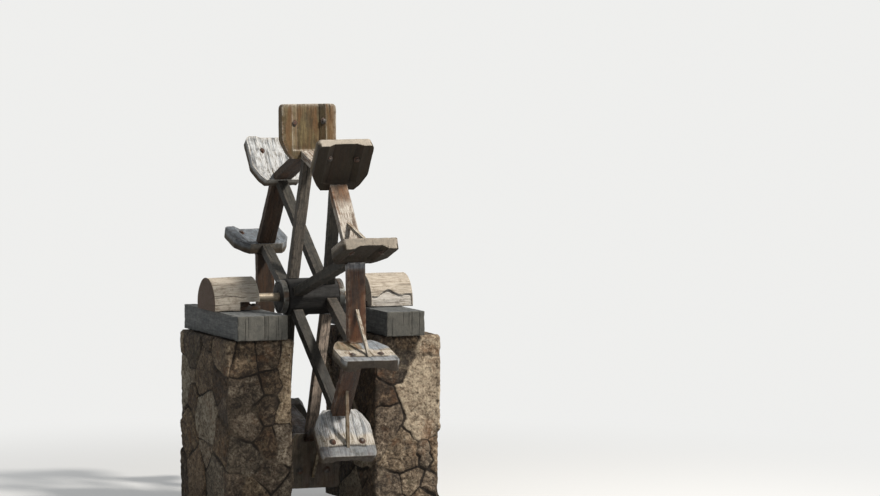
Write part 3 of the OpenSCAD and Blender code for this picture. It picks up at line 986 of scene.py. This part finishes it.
class Nodes:
    """A material's or world's nodes, with short calls to add and join them."""

    def __init__(self, owner):
        owner.use_nodes = True
        self.tree = owner.node_tree
        self.tree.nodes.clear()

    def add(self, kind, inputs, output=0, **settings):
        """Adds a node, sets each input to a number or colour or joins it, and gives an output."""
        node = self.tree.nodes.new("ShaderNode" + kind)
        for key, value in settings.items():
            setattr(node, key, value)
        for key, value in inputs.items():
            target = node.inputs[key]
            if isinstance(value, bpy.types.NodeSocket):
                self.tree.links.new(value, target)
            else:
                target.default_value = linear(value) if target.type == "RGBA" else value
        return node.outputs[output] if node.outputs else None

    def attribute(self, name, output="Vector"):
        return self.add("Attribute", {}, output, attribute_name=name)

    def parts(self, name):
        """The three numbers of one of the mesh's marks."""
        return self.add("SeparateXYZ", {0: self.attribute(name)}).node.outputs

    def noise(self, vector, scale, detail=4.0, rough=0.55, distortion=0.0):
        return self.add("TexNoise", {
            "Vector": vector, "Scale": scale, "Detail": detail, "Roughness": rough, "Distortion": distortion,
        })

    def along(self, vector, share, *settings):
        """Noise drawn out along the grain."""
        drawn = self.add("VectorMath", {0: vector, 1: (1, share, 1)}, operation="MULTIPLY")
        return self.noise(drawn, *settings)

    def math(self, operation, a, b=0.0, clamp=False):
        return self.add("Math", {0: a, 1: b}, operation=operation, use_clamp=clamp)

    def plus(self, a, b):
        return self.math("ADD", a, b)

    def minus(self, a, b):
        return self.math("SUBTRACT", a, b)

    def times(self, a, b, clamp=False):
        return self.math("MULTIPLY", a, b, clamp)

    def remap(self, value, low, high, to_low=0.0, to_high=1.0):
        numbers = {0: value, 1: low, 2: high, 3: to_low, 4: to_high}
        return self.add("MapRange", numbers, interpolation_type="SMOOTHSTEP")

    def mix(self, share, a, b, blend_type="MIX"):
        return self.add("Mix", {0: share, 6: a, 7: b}, 2, data_type="RGBA", blend_type=blend_type)

    def ramp(self, value, stops):
        output = self.add("ValToRGB", {0: value})
        elements = output.node.color_ramp.elements
        while len(elements) < len(stops):
            elements.new(0.5)
        for element, (place, colour) in zip(elements, stops):
            element.position = place
            element.color = linear(colour)
        return output

    def bump(self, height, distance, strength, after=None):
        before = {} if after is None else {"Normal": after}
        return self.add("Bump", {"Height": height, "Distance": distance, "Strength": strength, **before})

    def surface(self, colour, rough, normal, specular=0.5, metallic=0.0):
        shader = self.add("BsdfPrincipled", {
            "Base Color": colour, "Roughness": rough, "Normal": normal, "Specular IOR Level": specular,
            "Metallic": metallic,
        })
        self.add("OutputMaterial", {"Surface": shader})


def wood(name, dark, mid, light, pale, wet_tint, end_colour, stain=None, stain_share=0.50, edge_share=0.60,
         pale_low=0.20):
    """Weathered timber: fibres, streaks, patches, bleaching, water and end grain, by the mesh's marks."""
    material = bpy.data.materials.new(name)
    sh = Nodes(material)
    grain = sh.attribute("grain")
    end, edge, crack_and_shade = sh.parts("wear")
    bleach, wet, shade = sh.parts("state")
    silver = sh.attribute("silver", "Fac")

    fibre = sh.along(grain, 0.045, 420, 5, 0.62)
    streak = sh.along(grain, 0.075, 58, 5, 0.62, 0.6)
    patch = sh.noise(grain, 9, 5, 0.60)
    blotch = sh.noise(grain, 34, 5, 0.68)
    speckle = sh.noise(grain, 240, 3, 0.7)

    body = sh.plus(sh.times(fibre, 0.35), sh.times(streak, 0.40))
    body = sh.plus(body, sh.times(blotch, 0.25))
    colour = sh.ramp(body, [(0.34, dark), (0.49, mid), (0.64, light)])
    colour = sh.mix(sh.remap(patch, 0.42, 0.64, 0.0, 0.45), colour, dark)
    if stain:
        warm = sh.along(grain, 0.16, 24, 5, 0.62, 0.5)
        colour = sh.mix(sh.remap(warm, 0.44, 0.60, 0.0, stain_share), colour, stain)

    grey_tone = sh.ramp(body, [(0.36, (58, 65, 71)), (0.50, (98, 106, 114)), (0.64, (144, 150, 156))])
    colour = sh.mix(sh.times(silver, sh.remap(blotch, 0.34, 0.58, 0.70, 1.0)), colour, grey_tone)

    pale_share = sh.times(bleach, sh.remap(streak, 0.37, 0.49, pale_low, 1.0))
    pale_share = sh.times(pale_share, sh.remap(blotch, 0.36, 0.48, 0.45, 1.0), clamp=True)
    cold_pale = sh.mix(sh.times(silver, 0.75), pale, (194, 199, 204))
    colour = sh.mix(pale_share, colour, sh.mix(sh.remap(fibre, 0.34, 0.56), mid, cold_pale))
    worn = sh.times(edge, sh.remap(blotch, 0.40, 0.60, 0.0, edge_share))
    colour = sh.mix(sh.times(worn, sh.minus(1.0, shade)), colour, pale)

    place = sh.parts("place")
    off_x, off_z = sh.plus(place[0], 0.031), sh.plus(place[2], 0.055)
    radius = sh.math("SQRT", sh.plus(sh.times(off_x, off_x), sh.times(off_z, off_z)))
    radius = sh.plus(radius, sh.times(blotch, 0.014))
    ring = sh.plus(sh.times(sh.math("SINE", sh.times(radius, 900)), 0.5), 0.5)
    end_tone = sh.mix(sh.times(ring, 0.25), end_colour, mid)
    end_tone = sh.mix(sh.remap(blotch, 0.56, 0.40, 0.0, 0.5), end_tone, dark)
    end_tone = sh.mix(sh.times(bleach, sh.remap(speckle, 0.30, 0.50, 0.5, 0.95)), end_tone, pale)
    end_tone = sh.mix(sh.times(silver, 0.5), end_tone, (92, 98, 98))
    colour = sh.mix(sh.times(end, 0.90), colour, end_tone)

    # The dark share darkens the colour: partly dark wet wood, partly painted shade.
    colour = sh.mix(sh.times(shade, 0.88), colour, dimmed(dark, 0.35))
    wet_here = sh.times(wet, sh.remap(patch, 0.36, 0.55, 0.70, 1.0), clamp=True)
    keep_dry = sh.minus(1.0, sh.times(sh.math("MAXIMUM", bleach, silver), 0.80))
    colour = sh.mix(sh.times(wet_here, keep_dry), colour, sh.mix(1.0, colour, wet_tint, "MULTIPLY"))
    colour = sh.mix(sh.remap(speckle, 0.30, 0.40, 0.45, 0.0), colour, dark)
    # Cracks are darkened, and so are the grooves, creases and slots marked with them: painted shade in those.
    colour = sh.mix(sh.times(crack_and_shade, 0.88), colour, (26, 21, 17))
    fine_crack = sh.remap(sh.along(grain, 0.022, 105, 3, 0.7, 1.4), 0.300, 0.345, 1.0, 0.0)
    colour = sh.mix(sh.times(fine_crack, 0.65), colour, (34, 28, 22))

    rough = sh.remap(fibre, 0.3, 0.7, 0.74, 0.92)
    rough = sh.minus(rough, sh.times(wet_here, sh.remap(blotch, 0.40, 0.60, 0.30, 0.58)))
    height = sh.minus(sh.plus(fibre, sh.times(streak, 0.9)), fine_crack)
    height = sh.plus(height, sh.times(blotch, 0.8))
    sh.surface(colour, rough, sh.bump(height, 0.0030, 0.9), specular=0.35)
    return material


def masonry(name):
    """Mixed brown field stones in rough mortar, with some joints open and dark."""
    material = bpy.data.materials.new(name)
    sh = Nodes(material)
    where = sh.add("TexCoord", {}, "Object")
    tone, joint, hue = sh.parts("stone")
    cloud = sh.noise(where, 8, 6, 0.62)
    mottle = sh.noise(where, 30, 8, 0.72, 0.5)
    chip = sh.noise(where, 85, 6, 0.70)
    speck = sh.noise(where, 260, 3, 0.7)
    value = sh.times(tone, 0.75)
    for pattern, gain in ((cloud, 0.70), (mottle, 2.10), (chip, 1.30)):
        value = sh.plus(value, sh.times(sh.minus(pattern, 0.5), gain))
    colour = sh.ramp(value, [
        (0.00, (50, 42, 35)), (0.25, (84, 72, 60)), (0.50, (124, 109, 92)), (0.90, (188, 173, 152)),
    ])
    tint = sh.ramp(hue, [
        (0.0, (0.88, 0.96, 1.0, 1)), (0.50, (1, 1, 1, 1)),
        (0.85, (1, 0.94, 0.82, 1)), (1.0, (1, 0.88, 0.76, 1)),
    ])
    colour = sh.mix(0.8, colour, tint, "MULTIPLY")
    rust = sh.remap(sh.noise(where, 7, 6, 0.68), 0.54, 0.72)
    colour = sh.mix(sh.times(rust, 0.45), colour, (122, 84, 54))
    moss = sh.remap(sh.noise(where, 12, 6, 0.7), 0.57, 0.70)
    colour = sh.mix(sh.times(moss, 0.35), colour, (70, 70, 50))
    crust = sh.remap(sh.noise(where, 48, 8, 0.75), 0.56, 0.64)
    colour = sh.mix(sh.times(crust, sh.times(tone, 0.65)), colour, (186, 174, 154))
    colour = sh.mix(sh.remap(chip, 0.44, 0.34, 0.0, 0.65), colour, (50, 41, 33))
    colour = sh.mix(sh.remap(speck, 0.36, 0.46, 0.35, 0.0), colour, (44, 36, 29))
    mortar = sh.ramp(mottle, [(0.38, (70, 60, 49)), (0.60, (106, 94, 79))])
    colour = sh.mix(sh.remap(joint, 0.45, 0.95, 0.0, 0.60), colour, mortar)
    deep = sh.attribute("deep", "Fac")
    colour = sh.mix(sh.remap(deep, 0.35, 0.95, 0.0, 0.90), colour, (34, 28, 23))
    normal = sh.bump(sh.plus(mottle, cloud), 0.020, 0.8)
    normal = sh.bump(chip, 0.012, 1.0, normal)
    normal = sh.bump(speck, 0.0025, 0.7, normal)
    sh.surface(colour, sh.remap(mottle, 0.35, 0.65, 0.80, 0.95), normal, specular=0.25)
    return material


def metal(name, bare, rust_colour, rust_low, rust_high, rough, metallic):
    """Iron or steel with rust that gathers in patches."""
    material = bpy.data.materials.new(name)
    sh = Nodes(material)
    where = sh.add("TexCoord", {}, "Object")
    cloud = sh.noise(where, 24, 6, 0.65)
    grit = sh.noise(where, 260, 4, 0.6)
    rust = sh.remap(cloud, rust_low, rust_high)
    bare_tone = sh.mix(sh.remap(grit, 0.35, 0.65), bare, dimmed(bare, 0.7))
    rust_tone = sh.mix(sh.remap(grit, 0.3, 0.7), rust_colour, dimmed(rust_colour, 0.45))
    rough = sh.plus(sh.times(rust, 0.9 - rough), rough)
    normal = sh.bump(sh.plus(grit, cloud), 0.0012, 0.6)
    shine = sh.times(sh.minus(1.0, rust), metallic)
    sh.surface(sh.mix(rust, bare_tone, rust_tone), rough, normal, metallic=shine)
    return material


def dress(node, material):
    """Gives a CAD node a new material."""
    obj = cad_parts[node]
    obj.data.materials.clear()
    obj.data.materials.append(material)


def finish_object():
    paddle_wood = wood("paddle_wood", (44, 34, 21), (85, 71, 43), (122, 106, 68), (182, 174, 162),
                       (0.42, 0.36, 0.30, 1), (118, 102, 82), (106, 70, 36), 0.52)
    rim_wood = wood("rim_wood", (36, 26, 18), (76, 56, 39), (116, 90, 64), (186, 179, 168),
                    (0.52, 0.38, 0.27, 1), (104, 86, 68), (122, 78, 40), 0.40)
    # The spoke and hub woods are very dark: dark old timber, and partly painted shade.
    spoke_wood = wood("spoke_wood", (18, 19, 17), (36, 37, 33), (60, 60, 52), (166, 149, 134),
                      (0.50, 0.45, 0.38, 1), (60, 56, 48), edge_share=0.25, pale_low=0.55)
    hub_wood = wood("hub_wood", (12, 11, 9), (26, 22, 18), (46, 40, 33), (100, 92, 80),
                    (0.50, 0.42, 0.34, 1), (40, 34, 28), edge_share=0.20)
    sleeper_wood = wood("sleeper_wood", (38, 38, 34), (72, 70, 62), (116, 110, 98), (146, 138, 122),
                        (0.45, 0.42, 0.38, 1), (88, 82, 72), edge_share=0.40)
    cover_wood = wood("cover_wood", (78, 64, 51), (124, 111, 95), (158, 146, 130), (186, 176, 161),
                      (0.5, 0.4, 0.3, 1), (90, 70, 60), pale_low=0.60)
    stone = masonry("masonry")
    iron = metal("old_iron", (74, 70, 66), (78, 50, 34), 0.42, 0.58, 0.50, 0.7)
    block = metal("bearing_iron_worn", (104, 98, 92), (104, 80, 62), 0.40, 0.60, 0.60, 0.4)
    band = metal("band_iron_worn", (88, 88, 84), (64, 50, 38), 0.44, 0.60, 0.46, 0.7)
    steel = metal("axle_steel_worn", (150, 138, 120), (112, 88, 64), 0.48, 0.66, 0.52, 0.6)

    for k in range(1, PADDLE_COUNT + 1):
        paddle(k, paddle_wood)
        rim_board(k, rim_wood)
        spoke(k, spoke_wood)
    struts(paddle_wood)
    hub(hub_wood)
    for side in SIDES:
        sleeper(side, sleeper_wood)
        pier(side, stone)
    for side in SIDES:
        cover(side, cover_wood)
    paddle_bolts(iron)
    bearing_bolts(iron)
    dress("axle", steel)
    for name in SIDES.values():
        dress(f"{name}_hub_band", band)
        dress(f"{name}_bearing", block)


# Stage, light and camera

PIXEL = 0.0052
FRAME_W, FRAME_H = 880, 496
AXLE_PX = (309.2, 296.0)
CAMERA_TURN = math.radians(20.9)
CAMERA_RISE = math.radians(3.9)
CAMERA_AWAY = 26.0
BACKDROP = (0.86, 0.86, 0.86 * 0.985, 1)
FLOOR_COLOUR = (0.62, 0.615, 0.605, 1)
FLOOR_R = 90.0
FLOOR_SIDES = 96
FLOOR_DROP = 0.0005


def seen_rays(sh):
    """1 for rays that show what lies behind the object, seen directly, in metal or through glass."""
    rays = sh.add("LightPath", {}).node.outputs
    share = sh.math("MAXIMUM", rays["Is Camera Ray"], rays["Is Glossy Ray"])
    return sh.math("MAXIMUM", share, rays["Is Transmission Ray"])


def make_floor():
    """A wide pale disc that melts into the background away from the object."""
    turn = [2 * math.pi * n / FLOOR_SIDES for n in range(FLOOR_SIDES)]
    ring = [(FLOOR_R * math.cos(t), FLOOR_R * math.sin(t), -FLOOR_DROP) for t in turn]
    mesh = bpy.data.meshes.new("floor")
    mesh.from_pydata(ring, [], [list(range(FLOOR_SIDES))])
    added("floor", mesh)
    material = bpy.data.materials.new("floor")
    mesh.materials.append(material)
    sh = Nodes(material)
    away = sh.add("VectorMath", {0: sh.add("TexCoord", {}, "Object")}, "Value", operation="LENGTH")
    share = sh.times(sh.remap(away, 1.2, 4.5, 0.35, 1.0), seen_rays(sh))
    diffuse = sh.add("BsdfDiffuse", {"Color": FLOOR_COLOUR})
    glow = sh.add("Emission", {"Color": BACKDROP})
    sh.add("OutputMaterial", {"Surface": sh.add("MixShader", {0: share, 1: diffuse, 2: glow})})


def make_world():
    world = bpy.data.worlds.new("studio")
    bpy.context.scene.world = world
    sh = Nodes(world)
    soft = sh.add("Background", {"Color": (0.84, 0.92, 1.0, 1), "Strength": 0.25})
    seen = sh.add("Background", {"Color": BACKDROP})
    sh.add("OutputWorld", {"Surface": sh.add("MixShader", {0: seen_rays(sh), 1: soft, 2: seen})})


def aim(obj, place, look):
    """Puts a camera or lamp at a place, looking along look."""
    obj.location = place
    obj.rotation_mode = "QUATERNION"
    obj.rotation_quaternion = look.to_track_quat("-Z", "Y")


def make_lamp(name, place, size, power, colour):
    data = bpy.data.lights.new(name, "AREA")
    data.shape = "DISK"
    data.size = size
    data.energy = power
    data.color = colour
    aim(added(name, data), place, Vector((0, 0, AXLE_Z)) - Vector(place))


def make_camera():
    turn, rise = CAMERA_TURN, CAMERA_RISE
    look = Vector((math.sin(turn) * math.cos(rise), math.cos(turn) * math.cos(rise), -math.sin(rise)))
    right = Vector((math.cos(turn), -math.sin(turn), 0))
    middle = Vector((0, 0, AXLE_Z))
    middle += right * (FRAME_W / 2 - AXLE_PX[0]) * PIXEL
    middle += right.cross(look) * (AXLE_PX[1] - FRAME_H / 2) * PIXEL
    data = bpy.data.cameras.new("camera")
    data.sensor_width = 36
    data.lens = data.sensor_width * CAMERA_AWAY / (FRAME_W * PIXEL)
    data.clip_end = 200
    camera = added("camera", data)
    aim(camera, middle - look * CAMERA_AWAY, look)
    bpy.context.scene.camera = camera


finish_object()
make_floor()
make_world()
make_lamp("key", (4.1, -4.0, 8.2), 1.2, 1400, (1.0, 0.96, 0.90))
make_lamp("front", (1.0, -8.0, 3.0), 3.5, 75, (0.93, 0.96, 1.0))
make_camera()
bpy.context.scene.view_settings.view_transform = "Standard"
